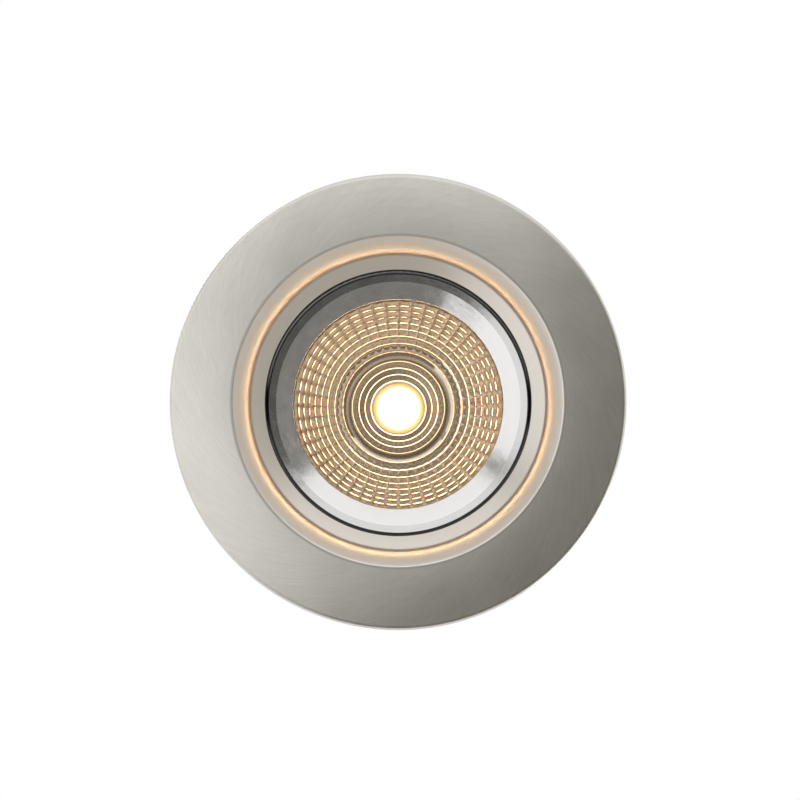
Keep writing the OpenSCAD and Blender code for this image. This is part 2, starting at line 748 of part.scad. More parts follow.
module led_holder() {
    color("#efeee9") difference() {
        translate([0, 0, holder_z]) cylinder(r = holder_r, h = holder_t);
        translate([0, 0, holder_z - 0.01]) cylinder(r1 = window_d / 2, r2 = window_d / 2 - 1, h = holder_t);
        translate([-board_w / 2 - 0.2, -board_w / 2 - 0.2, board_z - 0.05])
            cube([board_w + 0.4, board_w + 0.4, holder_t]);
        both_sides() translate([holder_screw_r, 0, holder_z - cut])
            cylinder(r = m2[2] + 0.15, h = holder_t + 2 * cut, $fn = 32);
        both_sides() translate([holder_screw_r, 0, holder_z - cut])
            cylinder(r = m2[0] + 0.2, h = m2[1] + cut, $fn = 32);
        for (x = [-lead_x, lead_x]) translate([x, lead_y, floor_z - 2])
            cylinder(r = lead_hole_r, h = 2 + cut, $fn = 32);
    }
}

module holder_screws() {
    color("#d8d8d6") both_sides() translate([holder_screw_r, 0, holder_z + m2[1]])
        rotate([180, 0, 0]) screw(m2, holder_t - m2[1] + holder_bite - 0.3);
}

module led_board() {
    color("#f2f1ec") translate([-board_w / 2, -board_w / 2, board_z]) cube([board_w, board_w, board_t]);
}

module led_phosphor() {
    color("#ffd98a") translate([0, 0, board_z - emitter_t]) cylinder(r = emitter_d / 2, h = emitter_t);
}

module thermal_pad() {
    color("#9aa3ad") translate([-board_w / 2, -board_w / 2, floor_z - pad_t])
        cube([board_w, board_w, pad_t]);
}

module heat_sink() {
    cup_run = (cup_front_r - cup_back_r) / (cup_back_z - skirt_z - 1);
    cup_step_r = cup_front_r - cup_run * (sink_flange_t - 1) + cup_wall;
    color("#a9adb0") difference() {
        union() {
            rotate_extrude($fn = 144) polygon([
                [0, floor_z], [cup_back_r, floor_z], [cup_back_r, cup_back_z],
                [cup_front_r, skirt_z + 1], [cup_front_r, rim_z + rim_t + 0.05],
                [spigot_r, rim_z + rim_t + 0.05], [spigot_r, skirt_z], [skirt_r, skirt_z],
                [skirt_r, sink_flange_z], [cup_step_r, sink_flange_z],
                [cup_back_r + cup_wall, cup_back_z], [cup_back_r + cup_wall, sink_floor_z],
                [core_r, sink_floor_z], [core_r, plate_z], [cap_r, plate_z], [cap_r, sink_z], [0, sink_z]
            ]);
            for (i = [0:fins - 1]) rotate([0, 0, (i + 0.5) * 360 / fins]) fin(cup_step_r);
            translate([-lead_x, lead_y - lead_hole_r - 1.3, sink_floor_z - cut])
                cube([2 * lead_x, 2 * lead_hole_r + 2.6, fin_back_h + 2 * cut]);
            for (x = [-lead_x, lead_x]) translate([x, lead_y, sink_floor_z - cut])
                cylinder(r = lead_hole_r + 1.3, h = fin_back_h + 2 * cut, $fn = 48);
        }
        for (x = [-lead_x, lead_x]) translate([x, lead_y, floor_z - cut])
            cylinder(r = lead_hole_r, h = sink_z - floor_z + 2 * cut, $fn = 32);
        both_sides() translate([holder_screw_r, 0, floor_z - cut])
            cylinder(r = m2[2] + screw_play, h = holder_bite + cut, $fn = 32);
        at_angles(bezel_screw_r, bezel_screw_angles) translate([0, 0, skirt_z - cut])
            cylinder(r = m25[2] + 0.15, h = sink_flange_t + 2 * cut, $fn = 32);
        at_angles(cap_screw_r, cap_screw_angles) translate([0, 0, plate_z + 0.4])
            cylinder(r = m25[2] + screw_play, h = plate_t, $fn = 32);
    }
}
// One radial fin, drawn with X outwards and Y up the axis
module fin(foot_r) {
    back_round = 2;
    rotate([90, 0, 0]) translate([0, 0, -fin_t / 2]) linear_extrude(fin_t) polygon(concat(
        [
            [foot_r - cup_wall / 2, sink_flange_z - cut], [fin_r, sink_flange_z - cut],
            [fin_r, sink_flange_z]
        ],
        arc([fin_back_r - back_round, sink_z - back_round], back_round, 0, 90, 4),
        [
            [core_r - 1, sink_z], [core_r - 1, sink_floor_z - 1],
            [cup_back_r + cup_wall / 2, sink_floor_z - 1], [cup_back_r + cup_wall / 2, cup_back_z]
        ]
    ));
}

module bezel_screws() {
    color("#d8d8d6") at_angles(bezel_screw_r, bezel_screw_angles)
        translate([0, 0, sink_flange_z]) screw(m25, sink_flange_t + bezel_bite - 0.3);
}

// Each lead rises through the heat sink, bends over the back plate and ends in the block
module lead(x) {
    in_holder = 1.8;
    in_block = 2;
    translate([x, lead_y, floor_z - in_holder])
        cylinder(r = lead_r, h = lead_top_z - lead_bend - floor_z + in_holder, $fn = 32);
    translate([x, lead_y - lead_bend, lead_top_z - lead_bend]) rotate([90, 0, 90])
        rotate_extrude(angle = 90, $fn = 48) translate([lead_bend, 0]) circle(r = lead_r, $fn = 32);
    translate([x, lead_y - lead_bend, lead_top_z]) rotate([90, 0, 0])
        cylinder(r = lead_r, h = lead_y - lead_bend - block_l / 2 + in_block, $fn = 32);
}
module lead_red() {
    color("#b3261e") lead(-lead_x);
}
module lead_black() {
    color("#1c1c1c") lead(lead_x);
}

module terminal_block() {
    port_r = lead_r + 0.1;
    color("#e7e3d6") difference() {
        translate([-block_w / 2, -block_l / 2, sink_z]) cube([block_w, block_l, block_h]);
        for (x = [-lead_x, lead_x]) {
            translate([x, block_l / 2 + cut, lead_top_z]) rotate([90, 0, 0])
                cylinder(r = port_r, h = block_l + 2 * cut, $fn = 32);
            translate([x, 0, lead_top_z]) cylinder(r = m2[0] - 0.1, h = block_h, $fn = 32);
        }
    }
}

module terminal_screws() {
    grip_z = lead_top_z + lead_r + 0.15;
    color("#c9b26b") for (x = [-lead_x, lead_x]) translate([x, 0, grip_z]) difference() {
        cylinder(r = m2[0] - 0.2, h = sink_z + block_h - grip_z - 0.4, $fn = 32);
        translate([-m2[0], -0.25, sink_z + block_h - grip_z - 1]) cube([2 * m2[0], 0.5, 1]);
    }
}

module cap_seal() {
    color("#2f2f2f") disc_ring(cap_r, cap_r - cap_wall - 0.4, sink_z, cap_seal_t);
}

module wiring_cap() {
    inner = cap_r - cap_wall;
    color("#33363a") difference() {
        translate([0, 0, cap_z]) cylinder(r = cap_r, h = cap_h);
        difference() {
            translate([0, 0, cap_z - cut]) cylinder(r = inner, h = cap_h - cap_wall + cut);
            at_angles(cap_screw_r, cap_screw_angles) {
                translate([0, 0, cap_z]) cylinder(r = cap_boss_r, h = cap_h, $fn = 48);
                translate([0, -cap_boss_r, cap_z])
                    cube([cap_r - cap_screw_r - cap_wall / 2, 2 * cap_boss_r, cap_h]);
            }
        }
        at_angles(cap_screw_r, cap_screw_angles) translate([0, 0, cap_z - cut])
            cylinder(r = m25[2] + 0.15, h = cap_h + 2 * cut, $fn = 32);
        translate([0, 0, cap_z]) cylinder(r = gland_r + thread_play, h = cap_h + cut);
    }
}

module cap_screws() {
    color("#d8d8d6") at_angles(cap_screw_r, cap_screw_angles)
        translate([0, 0, cap_top_z]) screw(m25, cap_h + cap_seal_t + plate_t - 0.7);
}

module hexagon(af, z, h) {
    translate([0, 0, z]) cylinder(r = af / 2 / cos(30), h = h, $fn = 6);
}

module gland_body() {
    top_z = cap_top_z + gland_hex_h + gland_thread_h;
    color("#8d9092") difference() {
        union() {
            translate([0, 0, gland_z]) cylinder(r = gland_r, h = top_z - gland_z);
            hexagon(gland_af, cap_top_z, gland_hex_h);
        }
        translate([0, 0, gland_z - cut]) cylinder(r = gland_bore_r, h = insert_z - gland_z + 2 * cut);
        translate([0, 0, insert_z]) cylinder(r = insert_out_r + insert_play, h = top_z - insert_z + cut);
    }
}

module gland_locknut() {
    color("#8d9092") difference() {
        hexagon(gland_af, locknut_z, locknut_h);
        translate([0, 0, locknut_z - cut]) cylinder(r = gland_r + screw_play, h = locknut_h + 2 * cut);
    }
}

module gland_insert() {
    color("#2f2f2f") disc_ring(insert_out_r, cable_d / 2, insert_z, insert_h);
}

module gland_nut() {
    dome = 2;
    color("#8d9092") difference() {
        intersection() {
            hexagon(gland_af, nut_z, gland_nut_h);
            translate([0, 0, nut_z]) rotate_extrude() polygon([
                [0, 0], [gland_af, 0], [gland_af / 2 + 0.6, gland_nut_h - dome],
                [gland_r, gland_nut_h], [0, gland_nut_h]
            ]);
        }
        translate([0, 0, nut_z - cut])
            cylinder(r = gland_r + screw_play, h = gland_nut_h - gland_dome_t + cut);
        translate([0, 0, nut_z]) cylinder(r = gland_bore_r, h = gland_nut_h + cut);
    }
}

trim_ring();
ceiling_gasket();
gimbal_frame();
frame_screws();
clip_bracket_front();
clip_bracket_back();
bracket_screws();
clip_pin_front();
clip_pin_back();
clip_spring_front();
clip_spring_back();
clip_arm_front();
clip_arm_back();
clip_pad_front();
clip_pad_back();
clip_spring_leg_front();
clip_spring_leg_back();
bezel_ring();
pivot_screws();
pivot_washers();
lens_seal();
lens();
reflector();
led_holder();
holder_screws();
led_board();
led_phosphor();
thermal_pad();
heat_sink();
bezel_screws();
lead_red();
lead_black();
terminal_block();
terminal_screws();
cap_seal();
wiring_cap();
cap_screws();
gland_body();
gland_locknut();
gland_insert();
gland_nut();
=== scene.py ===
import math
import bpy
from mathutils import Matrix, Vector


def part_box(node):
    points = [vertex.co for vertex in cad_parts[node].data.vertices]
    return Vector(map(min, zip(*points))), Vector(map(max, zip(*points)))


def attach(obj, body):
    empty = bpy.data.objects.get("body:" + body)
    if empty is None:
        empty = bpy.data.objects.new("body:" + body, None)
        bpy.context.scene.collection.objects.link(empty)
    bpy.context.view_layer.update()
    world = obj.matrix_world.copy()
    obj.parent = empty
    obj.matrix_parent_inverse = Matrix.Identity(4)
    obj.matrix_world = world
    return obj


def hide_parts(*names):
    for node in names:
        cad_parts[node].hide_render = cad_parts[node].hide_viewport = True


bl_info = {
    "name": "Recessed Spotlight",
    "version": (1, 0, 0),
    "blender": (4, 5, 0),
    "location": "3D View > Sidebar > Spotlight",
    "description": "Finishes, fine reflector and studio for a recessed ceiling spotlight",
    "category": "Object",
}

import bpy
from mathutils import Matrix, Vector

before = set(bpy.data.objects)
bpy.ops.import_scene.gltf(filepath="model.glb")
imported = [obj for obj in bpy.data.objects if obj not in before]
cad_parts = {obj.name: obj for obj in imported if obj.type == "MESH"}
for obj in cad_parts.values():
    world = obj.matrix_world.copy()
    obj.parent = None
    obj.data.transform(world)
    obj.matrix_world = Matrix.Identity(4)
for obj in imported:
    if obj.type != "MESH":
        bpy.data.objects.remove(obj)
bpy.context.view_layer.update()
MM = 0.001
SENSOR = 36  # width of the camera's sensor in millimetres
CARD_TINT = (1.0, 0.97, 0.91)
CARD_STEPS = 48  # quads along a studio card


def node_z(name):
    """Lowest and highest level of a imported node, in millimetres."""
    low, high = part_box(name)
    return low.z / MM, high.z / MM


def colour(default, label, description):
    """A colour that a user can set"""
    return bpy.props.FloatVectorProperty(
        name=label, description=description, default=default, size=3,
        min=0.0, max=1.0, subtype="COLOR")


def length(default, label, description):
    """A length that a user can set, in metres"""
    return bpy.props.FloatProperty(
        name=label, description=description, default=default, unit="LENGTH", precision=5)


def share(default, label, description):
    """A share from 0 to 1 that a user can set"""
    return bpy.props.FloatProperty(
        name=label, description=description, default=default, min=0.0, max=1.0, subtype="FACTOR")


# Settings

class SpotlightReflector(bpy.types.PropertyGroup):
    """Form and glow of the faceted bowl"""
    facets: bpy.props.IntProperty(
        name="Facets", description="Facets round the axis", default=48, min=12)
    foot_rings: bpy.props.IntProperty(
        name="Foot rings", description="Rings of the conical foot", default=3, min=1)
    bowl_rings: bpy.props.IntProperty(
        name="Bowl rings", description="Rings of the parabolic bowl", default=9, min=2)
    foot_radius: length(6.05 * MM, "Foot radius", "Radius of the opening over the emitter")
    bowl_radius: length(10 * MM, "Bowl radius", "Radius where the foot meets the bowl")
    rim_radius: length(22.45 * MM, "Rim radius", "Radius of the bowl at its rim")
    shell: length(0.9 * MM, "Shell", "Thickness of the pressed shell")
    bulge: length(0.06 * MM, "Bulge", "How far each facet swells along the bowl")
    side_bulge: length(0.07 * MM, "Side bulge", "How far each facet swells round the bowl")
    foot_step: length(0.33 * MM, "Foot step", "Height of the steps between the foot's rings")
    bowl_step: length(0.20 * MM, "Bowl step", "Height of the lowest step of the bowl")
    step_rings: bpy.props.IntProperty(
        name="Step rings", description="Rings over which the bowl's steps fade", default=6, min=1)
    glow: bpy.props.FloatProperty(
        name="Glow", description="Radiance of the phosphor", default=16.0, min=0.0)


class SpotlightFinishes(bpy.types.PropertyGroup):
    """Colours of the finishes"""
    nickel: colour((0.64, 0.623, 0.575), "Nickel", "Brushed face of the trim ring")
    aluminium: colour((0.80, 0.79, 0.775), "Aluminium", "Polished bezel")
    casting: colour((0.60, 0.61, 0.62), "Casting", "Blasted die-castings")
    sheet: colour((0.64, 0.65, 0.66), "Sheet steel", "Zinc plated frame and brackets")
    steel: colour((0.68, 0.68, 0.67), "Screws", "Nickel plated screws and pins")
    wire: colour((0.42, 0.43, 0.44), "Spring wire", "Drawn spring wire")
    champagne: colour((0.885, 0.755, 0.60), "Champagne", "Bright anodised reflector")
    brass: colour((0.72, 0.56, 0.28), "Brass", "Terminal clamps")
    plated: colour((0.62, 0.60, 0.56), "Plated brass", "Cable gland")
    rubber: colour((0.035, 0.035, 0.036), "Rubber", "Gaskets and clip pads")
    nylon: colour((0.80, 0.78, 0.72), "Nylon", "Pivot washers")
    glow: colour((1.0, 0.67, 0.40), "Glow", "Colour of the lit phosphor")


class SpotlightStudio(bpy.types.PropertyGroup):
    """Camera and light"""
    camera_gap: length(0.80, "Camera gap", "Distance of the camera from the flange")
    frame_width: length(0.16765, "Frame width", "Width of the picture at the flange")
    camera_down: length(0.0335, "Camera down", "How far the camera stands below the axis in the picture")
    camera_side: length(0.002, "Camera side", "How far the camera stands right of the axis")
    aim_side: length(0.0004, "Aim right", "Point aimed at, right of the axis")
    aim_down: length(-0.00021, "Aim down", "Point aimed at, below the axis in the picture")
    floor_drop: length(1.0, "Floor", "How far the floor lies below the ceiling plane")
    ambient: share(0.62, "Ambient", "Level of the light from all round")
    upper_card: share(1.0, "Upper card", "Brightness of the grey card's upper half")
    lower_card: share(0.22, "Lower card", "Brightness of the grey card's lower half")
    white_half: share(0.95, "White half", "Brightness of the pale half disc close to the lamp")
    dark_half: share(0.07, "Dark half", "Brightness of the dark half disc close to the lamp")
    veil: share(0.45, "Veil", "Brightness of the grey veil beside it")
    near_flag: share(0.24, "Near flag", "Brightness of the flag below the lamp")
    far_flag: share(0.07, "Far flag", "Brightness of the dark flag round it")
    seam: share(0.35, "Seam", "Brightness of the seam between the soft boxes")


# Shader sums

class Wire:
    """A socket of a graph, on which sums are written as Python expressions"""

    def __init__(self, graph, socket):
        self.graph, self.socket = graph, socket

    def sum(self, operation, *others):
        return self.graph.node(
            "ShaderNodeMath", {"operation": operation}, dict(enumerate([self, *others])))

    def __add__(self, other):
        return self.sum("ADD", other)

    __radd__ = __add__

    def __sub__(self, other):
        return self.sum("SUBTRACT", other)

    def __rsub__(self, other):
        return self.graph.node("ShaderNodeMath", {"operation": "SUBTRACT"}, {0: other, 1: self})

    def __mul__(self, other):
        return self.sum("MULTIPLY", other)

    __rmul__ = __mul__


class Graph:
    """The nodes of a material or of the world"""

    def __init__(self, tree):
        self.tree = tree
        tree.nodes.clear()

    def plug(self, socket, value):
        if isinstance(value, Wire):
            self.tree.links.new(value.socket, socket)
        elif value is not None:
            wide = hasattr(socket.default_value, "__len__")
            if wide and len(socket.default_value) == 4 and len(value) == 3:
                value = (*value, 1.0)
            socket.default_value = value

    def node(self, kind, settings=None, values=None, out=0):
        made = self.tree.nodes.new(kind)
        for name, value in (settings or {}).items():
            setattr(made, name, value)
        for name, value in (values or {}).items():
            self.plug(made.inputs[name], value)
        return Wire(self, made.outputs[out])

    def seen_directly(self):
        """1 for what the camera, a mirror or glass shows"""
        light = self.tree.nodes.new("ShaderNodeLightPath")
        camera, mirror, glass = (
            Wire(self, light.outputs[name])
            for name in ("Is Camera Ray", "Is Glossy Ray", "Is Transmission Ray"))
        return camera.sum("MAXIMUM", mirror).sum("MAXIMUM", glass)


class Finish(Graph):
    """A material whose principled shader is fed by expressions"""

    def __init__(self, name, **fixed):
        self.material = bpy.data.materials.new(name)
        self.material.use_nodes = True
        super().__init__(self.material.node_tree)
        self.surface = self.tree.nodes.new("ShaderNodeBsdfPrincipled")
        output = self.tree.nodes.new("ShaderNodeOutputMaterial")
        self.tree.links.new(self.surface.outputs[0], output.inputs["Surface"])
        self.at = None
        self.put(**fixed)

    def put(self, **values):
        """Feeds the surface's sockets, whose names have _ for a space"""
        for name, value in values.items():
            self.plug(self.surface.inputs[name.replace("_", " ")], value)

    def place(self):
        """Position on the piece in millimetres, as a vector and as x, y and z"""
        if self.at is None:
            at = self.node("ShaderNodeTexCoord", out="Object")
            at = self.node("ShaderNodeVectorMath", {"operation": "SCALE"}, {0: at, "Scale": 1 / MM})
            parts = [self.node("ShaderNodeSeparateXYZ", values={0: at}, out=i) for i in range(3)]
            self.at = (at, *parts)
        return self.at

    def radius(self):
        """Distance from the lamp's axis in millimetres"""
        at, x, y, z = self.place()
        return (x * x + y * y).sum("SQRT")

    def point(self, x, y, z):
        """A place or direction from three numbers"""
        return self.node("ShaderNodeCombineXYZ", values={0: x, 1: y, 2: z})

    def grain(self, at, scale, detail=2.0, rough=0.5):
        """Noise from 0 to 1"""
        return self.node(
            "ShaderNodeTexNoise", values={"Vector": at, "Scale": scale, "Detail": detail,
                                          "Roughness": rough})

    def rise(self, value, start, end):
        """0 before start, 1 after end, smooth between"""
        return self.node(
            "ShaderNodeMapRange", {"interpolation_type": "SMOOTHSTEP"},
            {"Value": value, "From Min": start, "From Max": end})

    def blend(self, factor, first, second):
        """The first colour at 0, the second at 1"""
        return self.node(
            "ShaderNodeMix", {"data_type": "RGBA"}, {0: factor, 6: first, 7: second}, out=2)

    def relief(self, height, strength, depth, normal=None):
        """A bumped normal, whose depth is in metres"""
        return self.node(
            "ShaderNodeBump", values={"Height": height, "Strength": strength, "Distance": depth,
                                      "Normal": normal})


def tones(base, low, high):
    """Two shades of a colour"""
    return tuple(c * low for c in base), tuple(min(c * high, 1.0) for c in base)


def dress(finish, *names):
    """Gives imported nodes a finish"""
    for name in names:
        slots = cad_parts[name].material_slots
        if not slots:
            raise RuntimeError(f"{name} has no material slot")
        for slot in slots:
            slot.material = finish.material


# Finishes

def brushed_nickel(base):
    f = Finish("brushed_nickel", Metallic=1.0)
    at, x, y, z = f.place()
    r = f.radius()
    turn = y.sum("ARCTAN2", x)
    # Brush strokes run at this angle to the circles, so each keeps one value of the spiral
    lean = math.radians(27)
    spiral = r.sum("LOGARITHM", math.e) * (1 / math.tan(lean)) - turn
    c, s = spiral.sum("COSINE"), spiral.sum("SINE")
    fine = f.grain(f.point(c * 420, s * 420, r * 0.42), 1.0, 3.0, 0.6)
    broad = f.grain(f.point(c * 130, s * 130, r * 0.2), 1.0, 2.0)
    cloud = f.grain(at, 0.09, 2.0)
    strokes = fine * 0.6 + broad * 0.2 + cloud * 0.2
    low, high = tones(base, 0.88, 1.1)
    brushed = f.blend(f.rise(strokes, 0.32, 0.68), low, high)
    # Inside the recess the lathe leaves fine circles
    circles = f.grain(f.point(z * 7, r * 7, turn * 0.4), 1.0, 2.0)
    # Zones from the axis outwards: throat, cone, wall, shoulder, lip and face. The cone, wall, shoulder
    # and lip get their own paler or darker tones as painted light and shade, and the throat is painted
    # near black as painted shade of the gap
    throat = 1 - f.rise(r, 28.2, 28.3)
    wall, shoulder, lip = f.rise(r, 30.8, 31.1), f.rise(r, 31.6, 32.3), f.rise(r, 34.6, 34.9)
    face = f.rise(r, 35.1, 35.4) * (1 - f.rise(z, -2.0, -1.2))
    # Painted light and shade: each zone of the one turned metal gets its own paler, darker or warmer
    # tone
    turned_with_painted_shade = f.blend(wall, (0.80, 0.755, 0.69), (0.68, 0.60, 0.54))
    turned_with_painted_shade = f.blend(shoulder, turned_with_painted_shade, (0.95, 0.91, 0.85))
    turned_with_painted_shade = f.blend(lip, turned_with_painted_shade, (0.50, 0.48, 0.44))
    turned_with_painted_shade = f.blend(circles, turned_with_painted_shade, f.blend(0.06, turned_with_painted_shade, (0.0, 0.0, 0.0)))
    # Painted shade: the throat beside the gap to the bezel is painted near black
    turned_with_painted_shade = f.blend(throat, turned_with_painted_shade, (0.012, 0.011, 0.01))
    satin = 0.33 + circles * 0.06 + f.rise(r, 32.4, 33.4) * 0.1 + throat * 0.3
    f.put(
        Base_Color=f.blend(face, turned_with_painted_shade, brushed),
        Roughness=face * (0.33 + (strokes - 0.5) * 0.2) + (1 - face) * satin,
        Normal=f.relief(strokes * face + circles * (1 - face) * 0.2, 0.5, 0.00002),
    )
    return f


def polished_aluminium(base):
    f = Finish("polished_aluminium", Metallic=1.0)
    at, x, y, z = f.place()
    r = f.radius()
    cloud = f.grain(at, 0.35, 3.0, 0.6)
    circles = f.grain(f.point(r * 12, z * 12, y.sum("ARCTAN2", x) * 0.5), 1.0, 2.0)
    low, high = tones(base, 0.93, 1.03)
    # The polished funnel ends at a duller band, and the ball-shaped side is painted near black as
    # painted shade of the gap to the trim ring
    band = f.rise(r, 25.98, 26.08)
    side = f.rise(r, 27.44, 27.54)
    # Painted shade: the ball-shaped side's colour is near black so that the gap renders dark
    dull, black = tones(base, 0.78, 0.11)
    front = f.blend(band, f.blend(cloud, low, high), dull)
    f.put(
        Base_Color=f.blend(side, front, black),
        Roughness=(1 - side) * (0.12 + cloud * 0.14 + band * 0.06) + side * 0.75,
        Normal=f.relief(circles, 0.1, 0.00002, f.relief(f.grain(at, 0.22, 2.0), 0.5, 0.00012)),
    )
    return f


def blasted_casting(base):
    f = Finish("blasted_casting", Metallic=1.0)
    at, x, y, z = f.place()
    grit = f.grain(at, 5.0, 3.0, 0.6)
    cloud = f.grain(at, 0.12, 2.0)
    low, high = tones(base, 0.86, 1.1)
    f.put(
        Base_Color=f.blend(grit * 0.5 + cloud * 0.5, low, high),
        Roughness=0.42 + grit * 0.16,
        Normal=f.relief(grit, 0.35, 0.00006),
    )
    return f


def zinc_sheet(base):
    f = Finish("zinc_sheet", Metallic=1.0)
    at, x, y, z = f.place()
    roll = f.grain(f.point(x * 0.6, y * 9, z * 9), 1.0, 2.0)
    cloud = f.grain(at, 0.25, 3.0, 0.6)
    bluish = (base[0] * 0.92, base[1] * 0.96, base[2] * 1.04)
    warm = (base[0] * 1.06, base[1] * 1.03, base[2] * 0.97)
    f.put(
        Base_Color=f.blend(cloud, bluish, warm),
        Roughness=0.24 + roll * 0.14,
        Normal=f.relief(roll, 0.15, 0.00003),
    )
    return f


def plated_steel(base, name="plated_steel"):
    f = Finish(name, Metallic=1.0)
    at, x, y, z = f.place()
    cloud = f.grain(at, 0.8, 2.0)
    fine = f.grain(at, 14.0, 2.0)
    low, high = tones(base, 0.9, 1.08)
    f.put(
        Base_Color=f.blend(cloud, low, high),
        Roughness=0.18 + fine * 0.14,
        Normal=f.relief(fine, 0.12, 0.00002),
    )
    return f


def champagne_mirror(base):
    f = Finish("champagne_mirror", Metallic=1.0)
    at, x, y, z = f.place()
    cloud = f.grain(at, 0.7, 2.0)
    fine = f.grain(at, 9.0, 2.0)
    low, high = tones(base, 0.94, 1.04)
    # The bowl is painted darker towards the foot, as painted shade
    painted_shade_foot, _ = tones(base, 0.60, 1.0)
    f.put(
        Base_Color=f.blend(f.rise(f.radius(), 9.0, 14.0), painted_shade_foot, f.blend(cloud, low, high)),
        Roughness=0.03 + fine * 0.03,
        Normal=f.relief(fine, 0.12, 0.00002),
    )
    return f


def clear_glass():
    f = Finish("clear_glass", Roughness=0.03, IOR=1.5)
    at, x, y, z = f.place()
    film = f.grain(at, 0.2, 2.0)
    edge = f.node("ShaderNodeLayerWeight", values={"Blend": 0.25}, out="Facing")
    f.put(
        Base_Color=f.blend(film, (0.86, 0.90, 0.89), (0.92, 0.94, 0.93)),
        Alpha=0.025 + film * 0.015 + edge * 0.25,
    )
    return f


def silicone(name, dark, light):
    f = Finish(name, Specular_IOR_Level=0.4)
    at, x, y, z = f.place()
    cloud = f.grain(at, 0.9, 3.0)
    fine = f.grain(at, 10.0, 2.0)
    f.put(
        Base_Color=f.blend(cloud, dark, light),
        Roughness=0.42 + fine * 0.2,
        Normal=f.relief(fine, 0.2, 0.00003),
    )
    return f


def black_rubber(base):
    f = Finish("black_rubber", Specular_IOR_Level=0.35)
    at, x, y, z = f.place()
    bloom = f.grain(at, 0.5, 3.0, 0.6)
    fine = f.grain(at, 8.0, 3.0)
    low, high = tones(base, 0.7, 1.8)
    f.put(
        Base_Color=f.blend(bloom, low, high),
        Roughness=0.62 + fine * 0.2,
        Normal=f.relief(fine, 0.4, 0.00005),
    )
    return f


def moulded(name, base, gloss=0.4, texture=6.0):
    f = Finish(name, Specular_IOR_Level=0.45)
    at, x, y, z = f.place()
    spark = f.grain(at, texture, 2.0)
    flow = f.grain(at, 0.3, 2.0)
    low, high = tones(base, 0.93, 1.05)
    f.put(
        Base_Color=f.blend(flow, low, high),
        Roughness=gloss + spark * 0.15,
        Normal=f.relief(spark, 0.25, 0.00004),
    )
    return f


def glowing_phosphor(glow, strength):
    f = Finish("glowing_phosphor", Roughness=0.5, Emission_Strength=strength)
    at, x, y, z = f.place()
    r = f.radius()
    grit = f.grain(at, 3.0, 2.0)
    yellow = tuple(c / strength for c in (1.25, 0.66, 0.2))
    amber = tuple(c / strength for c in (0.62, 0.3, 0.09))
    f.put(
        Base_Color=f.blend(grit, (0.95, 0.72, 0.25), (1.0, 0.82, 0.36)),
        Emission_Color=f.blend(
            f.rise(r, 4.8, 5.3), f.blend(f.rise(r, 4.1, 4.8), glow, yellow), amber),
    )
    return f


# Reflector

def bowl_radius(k, r):
    """Inner radius at the top of ring k, counted from the foot, in millimetres"""
    foot, bowl, rim = r.foot_radius / MM, r.bowl_radius / MM, r.rim_radius / MM
    if k <= r.foot_rings:
        return foot + (bowl - foot) * k / r.foot_rings
    return math.sqrt(bowl ** 2 + (rim ** 2 - bowl ** 2) * (k - r.foot_rings) / r.bowl_rings)


